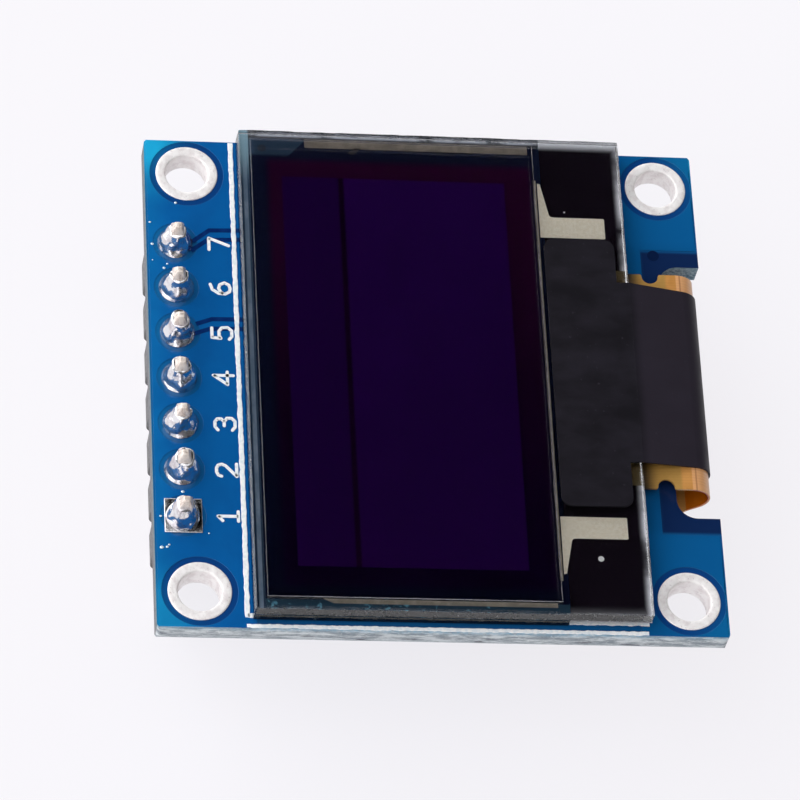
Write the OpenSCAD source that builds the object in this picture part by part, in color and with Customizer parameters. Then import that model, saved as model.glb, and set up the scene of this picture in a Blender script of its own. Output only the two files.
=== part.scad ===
// Small OLED display module: a bare glass panel bonded to a blue circuit board,
// its flex ribbon folded through a notch and soldered on the back, and a
// seven-way pin header soldered along the opposite edge.
//
// Frame: X runs along the pin row from pin 1 to pin 7, Y points at the header
// edge and Z points out of the screen. The origin is the centre of the four
// mounting holes, on the front face of the board.

/* [Board] */
// Length of the board along the pin row
board_len = 27.3; // [27:0.1:32]
// Width of the board from the ribbon edge to the header edge
board_w = 27.8; // [27.6:0.1:32]
// Distance of the board's middle from the middle of its holes, towards the header
board_shift = 0.1; // [0:0.05:0.2]
// Thickness of the laminate
board_t = 1.2; // [0.8:0.1:1.6]
// Radius of the four corners of the board
board_corner_r = 0.3; // [0.1:0.1:1]
// Depth of the scoring cut on each face of the two snapped edges
score_depth = 0.35; // [0.1:0.05:0.38]
// Angle of the scoring cut from the vertical
score_angle = 20; // [10:1:35]

/* [Mounting holes] */
// Finished diameter of the mounting holes
hole_d = 2.1; // [1.6:0.1:2.6]
// Mean distance from the board edges to the hole centres
hole_inset = 2; // [1.8:0.1:2.4]
// Diameter of the tinned ring round each hole
ring_d = 3.1; // [2.8:0.1:3.4]
// Thickness of the plating in the bore
plating_t = 0.05; // [0.03:0.01:0.1]
// Height of tinned copper above the board
pad_t = 0.06; // [0.04:0.01:0.08]

/* [Header] */
// Number of pins
pin_count = 7; // [4:1:8]
// Distance from pin to pin
pin_pitch = 2.54; // [2:0.01:2.6]
// Side of the square pins
pin_side = 0.64; // [0.5:0.01:0.7]
// Length of the pins above the plastic strip
pin_short = 3; // [2.6:0.1:4]
// Length of the pins below the plastic strip
pin_long = 6; // [3:0.1:9]
// Length of the taper at each pin end
pin_taper = 0.4; // [0.2:0.05:0.8]
// Side of a pin at its tips
pin_tip = 0.3; // [0.2:0.05:0.4]
// Height of the plastic strip
strip_h = 2.54; // [1.5:0.01:3]
// Width of the plastic strip
strip_w = 2.54; // [2:0.01:2.6]
// Width of the corner cut between two segments of the strip
strip_notch = 0.4; // [0.2:0.05:0.6]
// Distance from the board edge to the pin row
pin_inset = 1.42; // [1.3:0.01:1.8]
// Diameter of the pin holes in the board
pin_hole_d = 1; // [0.95:0.01:1.2]

/* [Solder joints] */
// Diameter of the pads of pins 2 and up, and of the solder on every pad
joint_d = 1.75; // [1.5:0.05:2]
// Side of the square pad that marks pin 1
square_pad = 1.85; // [1.6:0.05:2]
// Height of the solder up the pin
joint_h = 1.25; // [0.8:0.05:1.6]
// Diameter of the solder where it ends on the pin
joint_top_d = 1; // [0.95:0.01:1.1]
// Radius of the hollow flank of the solder
joint_flank_r = 1.6; // [1.2:0.1:3]

/* [Panel] */
// Length of the panel along the pin row
panel_len = 26.7; // [25:0.1:27]
// Width of the panel from header side to ribbon side
panel_w = 19.26; // [18.6:0.01:19.8]
// Distance from the header edge of the board to the panel
panel_setback = 4.6; // [4.3:0.1:4.8]
// Distance of the panel's middle from the middle of the board, along the pin row
panel_shift = 0.2; // [0:0.05:0.25]
// Thickness of the front glass, which carries the display
glass_t = 0.7; // [0.5:0.05:1.1]
// Thickness of the rear cover glass
cap_t = 0.55; // [0.4:0.05:0.7]
// Width of the bare glass ledge past the cover glass, on the ribbon side
ledge_w = 4; // [3.8:0.05:4.4]
// Thickness of the polarising film
film_t = 0.2; // [0.1:0.01:0.3]
// Width of glass left bare by the film on three sides
film_inset = 0.55; // [0.3:0.05:0.8]
// Distance from the ledge's outer edge to the film
film_ledge = 4.46; // [4.42:0.01:5]
// Thickness of the double-sided tape under the panel
bond_tape_t = 0.1; // [0.05:0.01:0.3]
// Width of cover glass left free by that tape
bond_tape_inset = 0.8; // [0.4:0.1:2]

/* [Inside the panel] */
// Depth of the pocket etched in the cover glass
pocket_depth = 0.3; // [0.22:0.01:0.35]
// Width of the glass frame left round the pocket, where the glasses are sealed
seal_w = 1.5; // [1:0.1:1.7]
// Distance from the panel's two ends to the lit area
lit_side = 2.48; // [1.8:0.01:3]
// Distance from the panel's header edge to the lit area
lit_setback = 2.15; // [1.8:0.05:2.4]
// Distance from the cover glass's ledge edge to the lit area
lit_foot = 1.9; // [1.8:0.05:2.4]
// Thickness of the emitting layers with their metal backing
lit_t = 0.05; // [0.02:0.01:0.06]
// Thickness of the drying sheet in the pocket
dry_t = 0.12; // [0.05:0.01:0.15]
// Distance from the pocket wall to the drying sheet
dry_inset = 1; // [0.5:0.1:3]
// Length of the bare driver chip under the ledge
chip_len = 10.5; // [8:0.1:13]
// Width of the driver chip
chip_w = 1.1; // [0.8:0.1:1.4]
// Thickness of the driver chip
chip_t = 0.3; // [0.2:0.05:0.4]
// Thickness of the black lacquer under the ledge
lacquer_t = 0.06; // [0.03:0.01:0.1]

/* [Ribbon] */
// Width of the ribbon's neck
neck_w = 12.1; // [10:0.05:12.4]
// Thickness of the ribbon
ribbon_t = 0.12; // [0.08:0.01:0.2]
// Overlap of the ribbon under the ledge
ribbon_bond = 1; // [0.6:0.1:1.4]
// Distance from the ribbon's fold to the board edge
fold_inset = 0.35; // [0.25:0.05:0.6]
// Radius of the alignment cuts in the neck's two sides
align_r = 0.42; // [0.3:0.01:0.6]
// Radius of the rounding at the mouths of those cuts
align_mouth_r = 0.1; // [0.05:0.01:0.2]
// Distance from the panel edge to the alignment cuts
align_out = 1.25; // [1:0.05:1.4]
// Mean gap between neck and notch on each side; the notch is centred on the holes
notch_gap = 1.05; // [0.8:0.05:1.4]
// Depth of the notch in the board edge
notch_d = 2.1; // [1.8:0.1:2.4]
// Radius of the notch's inner corners
notch_r = 1; // [0.5:0.1:1.4]
// Length of the soldered tail from the notch
tail_len = 5; // [4:0.1:6]
// Distance from the neck to the tail's shoulder, past the notch
tail_shoulder = 0.4; // [0.2:0.1:1]
// Radius where neck and tail meet
tail_fillet_r = 1.8; // [1.2:0.1:2]
// Radius of the tail's corners
tail_corner_r = 0.5; // [0.2:0.1:0.8]
// Margin of tail at each end of the row of joints
tail_margin = 0.15; // [0.1:0.05:0.25]

/* [Ribbon joints] */
// Number of soldered contacts
joint_count = 30; // [20:1:30]
// Distance from contact to contact
joint_pitch = 0.62; // [0.5:0.01:0.62]
// Width of a contact
joint_w = 0.32; // [0.2:0.01:0.4]
// Gap between ribbon and board, filled by solder at the contacts
joint_gap = 0.09; // [0.07:0.01:0.2]
// Length of the contacts
joint_len = 1.8; // [1:0.1:2.4]
// Reach of the solder past the end of the tail
joint_toe = 0.35; // [0.2:0.05:0.6]

/* [Black tape] */
// Thickness of the tape
shade_t = 0.1; // [0.05:0.01:0.2]
// Length of the part that covers the ledge
shade_len = 15; // [13.5:0.1:16]
// Gap between the film's edge and the tape
shade_gap = 0.3; // [0.1:0.05:0.5]
// Width of bare glass between that part and the ledge's outer edge
shade_margin = 0.62; // [0.4:0.01:1]
// Width of the strip that runs over the fold, where it leaves the wide part
shade_neck = 10.15; // [8:0.05:12]
// Angle by which the pin 1 side of that strip leans in
shade_skew = 3.5; // [0:0.5:8]
// Radius of the tape's corners
shade_r = 0.5; // [0.2:0.1:1]
// Angle by which the tape goes on round the fold, below its outermost line
shade_wrap = 45; // [10:1:60]

/* [Parts on the back] */
// Length of a chip capacitor or resistor
chip_part_len = 1.6; // [1.4:0.05:1.7]
// Width of a chip capacitor or resistor
chip_part_w = 0.8; // [0.6:0.05:0.85]
// Height of a chip capacitor
cap_part_h = 0.8; // [0.5:0.05:0.9]
// Height of a chip resistor
res_part_h = 0.45; // [0.35:0.05:0.6]
// Length of the metal end of a chip part
chip_end = 0.32; // [0.2:0.02:0.5]
// Thickness by which a metal end stands proud of the body
chip_end_t = 0.02; // [0.01:0.01:0.04]
// Thickness of solder under the parts
solder_t = 0.05; // [0.03:0.01:0.1]
// Reach of the solder past the end of a part
solder_toe = 0.3; // [0.2:0.05:0.4]
// Distance from part to part along a row
part_step = 2.1; // [2:0.05:2.3]
// Distance of the capacitor row from the middle of the board
cap_row_y = -3.6; // [-4.2:0.1:-3]
// Distance of the resistor row from the middle of the board
res_row_y = 7.6; // [7:0.1:8.4]

/* [Regulator and diode] */
// Length of the regulator's body
reg_len = 2.9; // [2.6:0.1:3.1]
// Width of the regulator's body
reg_w = 1.3; // [1.2:0.1:1.7]
// Height of the regulator's body
reg_h = 1; // [0.8:0.05:1.2]
// Distance from the regulator's middle leg line to its outer legs
reg_leg_x = 0.95; // [0.8:0.05:1.1]
// Length of the diode's body
diode_len = 1.7; // [1.5:0.1:2]
// Width of the diode's body
diode_w = 1.25; // [1:0.05:1.4]
// Height of the diode's body
diode_h = 0.9; // [0.7:0.05:1.1]
// Draft angle of the moulded bodies
draft = 7; // [3:1:10]
// Thickness of the legs
leg_t = 0.13; // [0.1:0.01:0.18]
// Width of the legs
leg_w = 0.4; // [0.3:0.05:0.5]
// Reach of a leg from its body
leg_reach = 0.65; // [0.55:0.05:0.8]
// Length of the flat foot of a leg
leg_foot = 0.3; // [0.2:0.05:0.35]

/* [Hidden] */
$fn = 96;
over = 1; // overshoot of cutting bodies past the faces that they cut

// Board and holes
header_edge_y = board_shift + board_w / 2;
ribbon_edge_y = board_shift - board_w / 2;
hole_x = board_len / 2 - hole_inset;
hole_y = board_w / 2 - hole_inset;
hole_r = hole_d / 2;
ring_r = ring_d / 2;
notch_w = neck_w + 2 * notch_gap;
notch_floor_y = ribbon_edge_y + notch_d;
back_z = -board_t;

// Header
pin_row_y = header_edge_y - pin_inset;
pin_row_x = -(pin_count - 1) * pin_pitch / 2;
pin_top_z = back_z + pin_short;
pin_bottom_z = back_z - strip_h - pin_long;

// Panel, from the board outwards
panel_y1 = header_edge_y - panel_setback;
panel_y0 = panel_y1 - panel_w;
cap_y0 = panel_y0 + ledge_w;
cap_z0 = bond_tape_t;
ledge_z = cap_z0 + cap_t;
glass_z = ledge_z + glass_t;
film_y0 = panel_y0 + film_ledge;

// Ribbon: one half turn joins the run under the ledge to the run on the back
ribbon_back_z = back_z - joint_gap - ribbon_t;
fold_r = (ledge_z - ribbon_back_z) / 2;
fold_z = ledge_z - fold_r;
fold_y = ribbon_edge_y + fold_inset + fold_r;
tail_end_y = notch_floor_y + tail_len;
tail_shoulder_y = notch_floor_y + tail_shoulder;
tail_w = (joint_count - 1) * joint_pitch + joint_w + 2 * tail_margin;

// Tape: it leaves the glass at the ledge's outer edge and meets the fold at a tangent
shade_lean = atan2(glass_z - fold_z, panel_y0 - fold_y);
shade_span = norm([glass_z - fold_z, panel_y0 - fold_y]);
shade_touch = shade_lean + acos(fold_r / shade_span);
shade_run = sqrt(shade_span * shade_span - fold_r * fold_r);
shade_turn = 180 + shade_wrap - shade_touch;

// Parts on the back
cap_count = 8;
res_count = 7;
part_seat_z = back_z - solder_t;
reg_place = [-5.6, 2.6];
diode_place = [5.4, 2.6];

// ---------------------------------------------------------------- shared shapes

// Turns a side view, drawn with Y across and Z up, into a body of width w along X
module along_x(w) {
    rotate([90, 0, 90]) linear_extrude(height = w, center = true) children();
}

// Turns an end view, drawn with X across and Z up, into a body of width w along Y
module along_y(w) {
    rotate([90, 0, 0]) linear_extrude(height = w, center = true) children();
}

// Rectangle from corner a to corner b
module rect(a, b) {
    translate(a) square(b - a);
}

// Rectangle from corner a to corner b with corners of radius r
module round_rect(a, b, r) {
    rect(a + [r, 0], b - [r, 0]);
    rect(a + [0, r], b - [0, r]);
    for (x = [a[0] + r, b[0] - r], y = [a[1] + r, b[1] - r]) translate([x, y]) circle(r);
}

// Plate between two heights
module plate(z0, z1) {
    translate([0, 0, z0]) linear_extrude(height = z1 - z0) children();
}

// The hollow corner of radius r in the angle between the positive axes
module inner_corner(r) {
    difference() {
        square(r);
        translate([r, r]) circle(r);
    }
}

// Part of a ring between two angles, at most 180 degrees apart
module ring_sector(r_in, r_out, a0, a1) {
    reach = 2 * r_out;
    intersection() {
        difference() {
            circle(r_out);
            circle(r_in);
        }
        polygon([
            [0, 0],
            for (k = [0:4]) let (a = a0 + (a1 - a0) * k / 4) reach * [cos(a), sin(a)]
        ]);
    }
}

// Region left of the straight line or hollow flank from p to q, with flank radius r
module flank(p, q, r) {
    half = norm(q - p) / 2;
    side = [q[1] - p[1], p[0] - q[0]] / (2 * half);
    difference() {
        polygon([p, q, [0, q[1]], [0, p[1]]]);
        translate((p + q) / 2 + side * sqrt(r * r - half * half)) circle(r);
    }
}

// ---------------------------------------------------------------- board

module board_outline() {
    half = [board_len, board_w] / 2;
    difference() {
        translate([0, board_shift]) round_rect(-half, half, board_corner_r);
        rect([-notch_w / 2, ribbon_edge_y - over], [notch_w / 2, notch_floor_y - notch_r]);
        round_rect([-notch_w / 2, notch_floor_y - 3 * notch_r], [notch_w / 2, notch_floor_y], notch_r);
        for (x = [-hole_x, hole_x], y = [-hole_y, hole_y])
            translate([x, y]) circle(hole_r + plating_t);
        for (i = [0:pin_count - 1])
            translate([pin_row_x + i * pin_pitch, pin_row_y]) circle(d = pin_hole_d);
    }
}

// End view of the laminate: both long faces are scored, and the core is snapped
module scored_section() {
    edge = board_len / 2;
    inset = edge - score_depth * tan(score_angle);
    polygon([
        [-inset, 0], [-edge, -score_depth], [-edge, back_z + score_depth], [-inset, back_z],
        [inset, back_z], [edge, back_z + score_depth], [edge, -score_depth], [inset, 0]
    ]);
}

module circuit_board() {
    color("#0a5a9e")
    intersection() {
        plate(back_z, 0) board_outline();
        along_y(board_w + over) scored_section();
    }
}

// Section of a plated hole: a thin barrel with a tinned ring on each face, whose
// inner and outer edges are rounded
module plating_section() {
    rect([hole_r, back_z], [hole_r + plating_t, 0]);
    for (side = [0, 1])
        translate([0, side * back_z]) mirror([0, side])
            intersection() {
                union() {
                    rect([hole_r + pad_t, 0], [ring_r - pad_t, pad_t]);
                    for (x = [hole_r + pad_t, ring_r - pad_t]) translate([x, 0]) circle(pad_t);
                }
                rect([0, 0], [ring_d, pad_t]);
            }
}

module hole_plating(i) {
    x = (i % 2 == 1) ? -hole_x : hole_x;
    y = (i > 2) ? -hole_y : hole_y;
    color("#d9dcdf") translate([x, y, 0]) rotate_extrude() plating_section();
}

// ---------------------------------------------------------------- header

// Strip of square segments whose corners are cut where two of them meet
module header_strip() {
    half = [pin_count * pin_pitch, strip_w] / 2;
    color("#17181a")
    plate(back_z - strip_h, back_z)
        translate([0, pin_row_y])
            difference() {
                rect(-half, half);
                for (i = [0:pin_count], side = [-1, 1])
                    translate([i * pin_pitch - half[0], side * half[1]])
                        rotate(45) square(sqrt(2) * strip_notch, center = true);
                for (i = [0:pin_count - 1])
                    translate([pin_row_x + i * pin_pitch, 0]) square(pin_side, center = true);
            }
}

// Side view of a pin, tapered at both ends
module pin_view() {
    half = pin_side / 2;
    tip = pin_tip / 2;
    polygon([
        [-tip, pin_bottom_z], [tip, pin_bottom_z], [half, pin_bottom_z + pin_taper],
        [half, pin_top_z - pin_taper], [tip, pin_top_z], [-tip, pin_top_z],
        [-half, pin_top_z - pin_taper], [-half, pin_bottom_z + pin_taper]
    ]);
}

module pin_solid() {
    intersection() {
        along_y(pin_side) pin_view();
        along_x(pin_side) pin_view();
    }
}

module header_pin(i) {
    color("#c9b26a") translate([pin_row_x + (i - 1) * pin_pitch, pin_row_y, 0]) pin_solid();
}

// Section of a joint: it fills the hole, covers the pad and climbs the pin
module joint_section() {
    rect([0, back_z], [pin_hole_d / 2, 0]);
    rect([0, 0], [joint_d / 2, pad_t]);
    flank([joint_d / 2, pad_t], [joint_top_d / 2, joint_h], joint_flank_r);
}

module solder_joint(i) {
    color("#c4c8cc")
    translate([pin_row_x + (i - 1) * pin_pitch, pin_row_y, 0])
        difference() {
            union() {
                rotate_extrude() joint_section();
                if (i == 1) plate(0, pad_t) square(square_pad, center = true);
            }
            pin_solid();
        }
}

// ---------------------------------------------------------------- panel

module panel_rect(y0, y1, inset) {
    x = panel_len / 2 - inset;
    translate([panel_shift, 0]) rect([-x, y0 + inset], [x, y1 - inset]);
}

module bond_tape() {
    color("#26262a") plate(0, bond_tape_t) panel_rect(cap_y0, panel_y1, bond_tape_inset);
}

module cover_glass() {
    color("#5d7078")
    difference() {
        plate(cap_z0, ledge_z) panel_rect(cap_y0, panel_y1, 0);
        plate(ledge_z - pocket_depth, ledge_z + over) panel_rect(cap_y0, panel_y1, seal_w);
    }
}

module drying_sheet() {
    z = ledge_z - pocket_depth;
    color("#e8e6e0") plate(z, z + dry_t) panel_rect(cap_y0, panel_y1, seal_w + dry_inset);
}

module emitting_layer() {
    x = panel_len / 2 - lit_side;
    color("#17063a")
    plate(ledge_z - lit_t, ledge_z)
        translate([panel_shift, 0]) rect([-x, cap_y0 + lit_foot], [x, panel_y1 - lit_setback]);
}

module front_glass() {
    color("#3b4a55") plate(ledge_z, glass_z) panel_rect(panel_y0, panel_y1, 0);
}

module polarising_film() {
    x = panel_len / 2 - film_inset;
    color("#120818")
    plate(glass_z, glass_z + film_t)
        translate([panel_shift, 0]) rect([-x, film_y0], [x, panel_y1 - film_inset]);
}

// Middle of the strip of ledge between cover glass and ribbon, where the chip sits
chip_y = (cap_y0 + panel_y0 + ribbon_bond) / 2;

module chip_outline() {
    translate([panel_shift, chip_y]) square([chip_len, chip_w], center = true);
}

module driver_chip() {
    color("#2c2f38") plate(ledge_z - chip_t, ledge_z) chip_outline();
}

module ledge_lacquer() {
    color("#0c0b10")
    plate(ledge_z - lacquer_t, ledge_z)
        difference() {
            panel_rect(panel_y0, cap_y0, 0);
            chip_outline();
            translate([panel_shift, 0])
                rect([-neck_w / 2, panel_y0 - over], [neck_w / 2, panel_y0 + ribbon_bond]);
        }
}

// ---------------------------------------------------------------- ribbon

// Side view of the folded ribbon
module ribbon_view() {
    rect([fold_y, ledge_z - ribbon_t], [panel_y0 + ribbon_bond, ledge_z]);
    translate([fold_y, fold_z]) ring_sector(fold_r - ribbon_t, fold_r, 90, 180);
    translate([fold_y, fold_z]) ring_sector(fold_r - ribbon_t, fold_r, 180, 270);
    rect([fold_y, ribbon_back_z], [tail_end_y, ribbon_back_z + ribbon_t]);
}

// Plan of an alignment cut, about the middle of its mouth and cut towards -X
module align_plan() {
    translate([-align_mouth_r, 0]) circle(align_r);
    rect([-align_mouth_r, -align_r], [over, align_r]);
    for (side = [0, 1])
        mirror([0, side])
            translate([0, align_r]) mirror([1, 0]) inner_corner(align_mouth_r);
}

// Plan of the upper run: the neck with its two alignment cuts
module neck_plan() {
    difference() {
        rect([-neck_w / 2, -board_w], [neck_w / 2, board_w]);
        for (side = [0, 1])
            mirror([side, 0])
                translate([neck_w / 2, panel_y0 - align_out]) align_plan();
    }
}

// Plan of the lower run: the neck spreads into the wide tail that carries the contacts
module tail_plan() {
    rect([-neck_w / 2, -board_w], [neck_w / 2, tail_end_y]);
    round_rect([-tail_w / 2, tail_shoulder_y], [tail_w / 2, tail_end_y], tail_corner_r);
    rect([-tail_w / 2, tail_end_y - tail_corner_r], [tail_w / 2, tail_end_y]);
    for (side = [0, 1])
        mirror([side, 0])
            translate([neck_w / 2, tail_shoulder_y])
                mirror([0, 1]) inner_corner(tail_fillet_r);
}

module flex_ribbon() {
    color("#c8842c")
    translate([panel_shift, 0, 0])
        intersection() {
            along_x(tail_w) ribbon_view();
            union() {
                plate(fold_z, glass_z) neck_plan();
                plate(ribbon_back_z - over, fold_z) tail_plan();
            }
        }
}

// Side view of a contact: solder under the tail, a hollow toe past its end and a
// thin lip on its outer face
module contact_view() {
    lip = joint_gap / 2;
    outer = ribbon_back_z - lip;
    rect([tail_end_y - joint_len, back_z - joint_gap], [tail_end_y, back_z]);
    translate([tail_end_y, back_z]) mirror([0, 1]) flank([joint_toe, 0], [0, back_z - outer], 2 * joint_toe);
    rect([tail_end_y - joint_len, outer + lip / 2], [tail_end_y, ribbon_back_z]);
    rect([tail_end_y - joint_len + lip, outer], [tail_end_y, ribbon_back_z]);
}

module ribbon_joints() {
    x0 = panel_shift - (joint_count - 1) * joint_pitch / 2;
    color("#c9ccd0")
    for (i = [0:joint_count - 1])
        translate([x0 + i * joint_pitch, 0, 0]) along_x(joint_w) contact_view();
}

// Puts a side view drawn about the fold's centre, with X through the line where the
// straight span of the tape meets the fold, into place
module span_frame() {
    translate([fold_y, fold_z]) rotate(shade_touch) children();
}

// Side view of the tape: flat on the ledge, down in a straight span and round the fold.
// Span and flat part run a lap past the ledge's edge and are trimmed by each other's
// outer face, so they meet in a mitre there.
module tape_view() {
    lap = 1;
    outer_r = fold_r + shade_t;
    intersection() {
        rect([panel_y0 - lap, glass_z], [film_y0 - shade_gap, glass_z + shade_t]);
        span_frame() rect([-board_w, -board_w], [outer_r, 0]);
    }
    intersection() {
        span_frame() {
            rect([fold_r, -shade_run - lap], [outer_r, 0]);
            ring_sector(fold_r, outer_r, 0, shade_turn / 2);
            ring_sector(fold_r, outer_r, shade_turn / 2, shade_turn);
        }
        rect([-board_w, ribbon_back_z - over], [0, glass_z + shade_t]);
    }
}

// Plan of the tape: the wide part on the ledge and the strip that leaves it
module tape_plan() {
    wide_y0 = panel_y0 + shade_margin;
    root_y = wide_y0 + shade_r;
    half = shade_neck / 2;
    reach = board_w / 2;
    round_rect([-shade_len / 2, wide_y0], [shade_len / 2, film_y0 - shade_gap], shade_r);
    polygon([[-half, root_y], [reach * tan(shade_skew) - half, root_y - reach], [half, root_y - reach], [half, root_y]]);
}

module black_tape() {
    color("#201c26")
    translate([panel_shift, 0, 0])
        intersection() {
            along_x(shade_len) tape_view();
            plate(ribbon_back_z, glass_z + film_t) tape_plan();
        }
}

// ---------------------------------------------------------------- parts on the back

// Bodies here are drawn with Z away from the board's back face and turned over
module on_back(place, angle) {
    translate([place[0], place[1], back_z]) rotate([0, 0, angle]) mirror([0, 0, 1]) children();
}

function row_place(i, count, y) = [(i - (count + 1) / 2) * part_step, y];

// Chip part along X: a body between two metal ends that stand slightly proud of it
module chip_part(h) {
    half = [chip_part_w, h] / 2;
    body = half - [chip_end_t, chip_end_t];
    end_r = 2 * chip_end_t;
    translate([0, 0, solder_t + h / 2]) {
        cube([chip_part_len - 2 * chip_end_t, 2 * body[0], 2 * body[1]], center = true);
        for (side = [-1, 1])
            translate([side * (chip_part_len - chip_end) / 2, 0, 0])
                along_x(chip_end) round_rect(-half, half, end_r);
    }
}

module capacitor(i) {
    color("#b89a72") on_back(row_place(i, cap_count, cap_row_y), 90) chip_part(cap_part_h);
}

module resistor(i) {
    color("#1d1d20") on_back(row_place(i, res_count, res_row_y), 90) chip_part(res_part_h);
}

// Solder under and outside both ends of a chip part, rising to two thirds of its height
module chip_fillets(h) {
    rise = solder_t + h * 2 / 3;
    for (side = [0, 1])
        mirror([side, 0, 0])
            along_y(chip_part_w) {
                rect([chip_part_len / 2 - chip_end, 0], [chip_part_len / 2, solder_t]);
                translate([chip_part_len / 2, 0]) flank([solder_toe, 0], [0, rise], 2 * rise);
            }
}

// Side view of a moulded body, widest at its parting line
module moulded_view(w, h) {
    slope = tan(draft) * h / 2;
    half = w / 2;
    polygon([
        [-half + slope, 0], [half - slope, 0], [half, h / 2],
        [half - slope, h], [-half + slope, h], [-half, h / 2]
    ]);
}

module moulded_body(size, lift) {
    translate([0, 0, lift])
        intersection() {
            along_y(size[1]) moulded_view(size[0], size[2]);
            along_x(size[0]) moulded_view(size[1], size[2]);
        }
}

// Side view of a gull-wing leg that leaves a body's wall at y = 0 at height h
module leg_view(h) {
    bend = 1.6 * leg_t;
    knee_y = leg_reach - leg_foot;
    base = solder_t;
    rect([0, h - leg_t / 2], [knee_y - bend, h + leg_t / 2]);
    translate([knee_y - bend, h + leg_t / 2 - bend]) ring_sector(bend - leg_t, bend, 0, 90);
    rect([knee_y - leg_t, base + bend], [knee_y, h + leg_t / 2 - bend]);
    translate([knee_y + bend - leg_t, base + bend]) ring_sector(bend - leg_t, bend, 180, 270);
    rect([knee_y + bend - leg_t, base], [leg_reach, base + leg_t]);
}

module leg(x, body_half, h, side) {
    mirror([0, side, 0]) translate([x, body_half, 0]) along_x(leg_w) leg_view(h);
}

// Solder under the foot of a leg and up its end
module leg_fillet(x, body_half, side) {
    mirror([0, side, 0])
        translate([x, body_half + leg_reach, 0])
            along_x(leg_w) {
                rect([-leg_foot, 0], [0, solder_t]);
                flank([solder_toe / 2, 0], [0, solder_t + leg_t], solder_toe);
            }
}

// Where the regulator's three legs leave its body: two on one side, one on the other
reg_legs = [[-reg_leg_x, 0], [reg_leg_x, 0], [0, 1]];
diode_leg_sides = [0, 1];

module regulator_body() {
    color("#202126") on_back(reg_place, 0) moulded_body([reg_len, reg_w, reg_h], 2 * solder_t);
}

module regulator_legs() {
    color("#c6c9cc")
    on_back(reg_place, 0)
        for (l = reg_legs) leg(l[0], reg_w / 2, 2 * solder_t + reg_h / 2, l[1]);
}

module diode_body() {
    color("#232327") on_back(diode_place, 90) moulded_body([diode_w, diode_len, diode_h], 2 * solder_t);
}

module diode_legs() {
    color("#c6c9cc")
    on_back(diode_place, 90)
        for (side = diode_leg_sides) leg(0, diode_len / 2, 2 * solder_t + diode_h / 2, side);
}

module part_solder() {
    color("#c9ccd0") {
        for (i = [1:cap_count]) on_back(row_place(i, cap_count, cap_row_y), 90) chip_fillets(cap_part_h);
        for (i = [1:res_count]) on_back(row_place(i, res_count, res_row_y), 90) chip_fillets(res_part_h);
        on_back(reg_place, 0) for (l = reg_legs) leg_fillet(l[0], reg_w / 2, l[1]);
        on_back(diode_place, 90) for (side = diode_leg_sides) leg_fillet(0, diode_len / 2, side);
    }
}

// ---------------------------------------------------------------- nodes

circuit_board();
for (i = [1:4])
    hole_plating(i);
header_strip();
for (i = [1:pin_count])
    header_pin(i);
for (i = [1:pin_count])
    solder_joint(i);
bond_tape();
cover_glass();
drying_sheet();
emitting_layer();
front_glass();
polarising_film();
driver_chip();
ledge_lacquer();
flex_ribbon();
ribbon_joints();
black_tape();
regulator_body();
regulator_legs();
diode_body();
diode_legs();
for (i = [1:cap_count])
    capacitor(i);
for (i = [1:res_count])
    resistor(i);
part_solder();
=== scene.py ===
import math

import bmesh
import bpy
from mathutils import Matrix, Vector, noise


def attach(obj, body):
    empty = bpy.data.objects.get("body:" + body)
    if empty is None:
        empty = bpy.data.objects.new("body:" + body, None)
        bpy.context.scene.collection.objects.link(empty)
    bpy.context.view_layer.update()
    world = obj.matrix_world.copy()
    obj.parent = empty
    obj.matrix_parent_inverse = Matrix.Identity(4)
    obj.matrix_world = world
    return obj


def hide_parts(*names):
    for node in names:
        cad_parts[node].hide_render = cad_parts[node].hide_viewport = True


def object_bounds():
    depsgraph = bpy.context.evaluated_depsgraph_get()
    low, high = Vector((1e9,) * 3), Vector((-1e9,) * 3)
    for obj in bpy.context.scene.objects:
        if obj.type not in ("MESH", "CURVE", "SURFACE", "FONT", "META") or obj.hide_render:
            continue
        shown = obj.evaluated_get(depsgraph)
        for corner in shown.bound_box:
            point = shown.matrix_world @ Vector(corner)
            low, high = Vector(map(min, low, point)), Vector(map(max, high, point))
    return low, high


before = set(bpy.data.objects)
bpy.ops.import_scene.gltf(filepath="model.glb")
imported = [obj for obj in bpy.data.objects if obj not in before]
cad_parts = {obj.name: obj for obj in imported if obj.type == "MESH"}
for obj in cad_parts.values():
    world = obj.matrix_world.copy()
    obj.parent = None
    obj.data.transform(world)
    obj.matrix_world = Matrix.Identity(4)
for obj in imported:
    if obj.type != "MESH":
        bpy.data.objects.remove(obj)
cad_low, cad_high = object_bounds()

# ---------------------------------------------------------------- Circuit board
# The board is glass-fibre laminate with a blue solder mask printed on both faces.
# It was snapped out of a larger panel along V cuts, which leaves pale, fibrous
# edges, and the notch and the header edge were routed.

MM = 0.001


def paint(code):
    """A colour as it is written, in the shader's linear values."""
    parts = [int(code[i : i + 2], 16) / 255 for i in (1, 3, 5)]
    return tuple(p / 12.92 if p < 0.04045 else ((p + 0.055) / 1.055) ** 2.4 for p in parts) + (1.0,)


class Wire:
    """An output socket. Sums written with it become Math nodes."""

    def __init__(self, finish, socket):
        self.finish, self.socket = finish, socket

    def calc(self, operation, *terms):
        return self.finish.node("ShaderNodeMath", {"operation": operation}, dict(enumerate(terms)))

    def __add__(self, other):
        return self.calc("ADD", self, other)

    def __sub__(self, other):
        return self.calc("SUBTRACT", self, other)

    def __rsub__(self, other):
        return self.calc("SUBTRACT", other, self)

    def __mul__(self, other):
        return self.calc("MULTIPLY", self, other)

    def __abs__(self):
        return self.calc("ABSOLUTE", self)

    def __pow__(self, other):
        return self.calc("POWER", self, other)

    def least(self, other):
        return self.calc("MINIMUM", self, other)

    def most(self, other):
        return self.calc("MAXIMUM", self, other)

    __radd__, __rmul__ = __add__, __mul__


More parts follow.
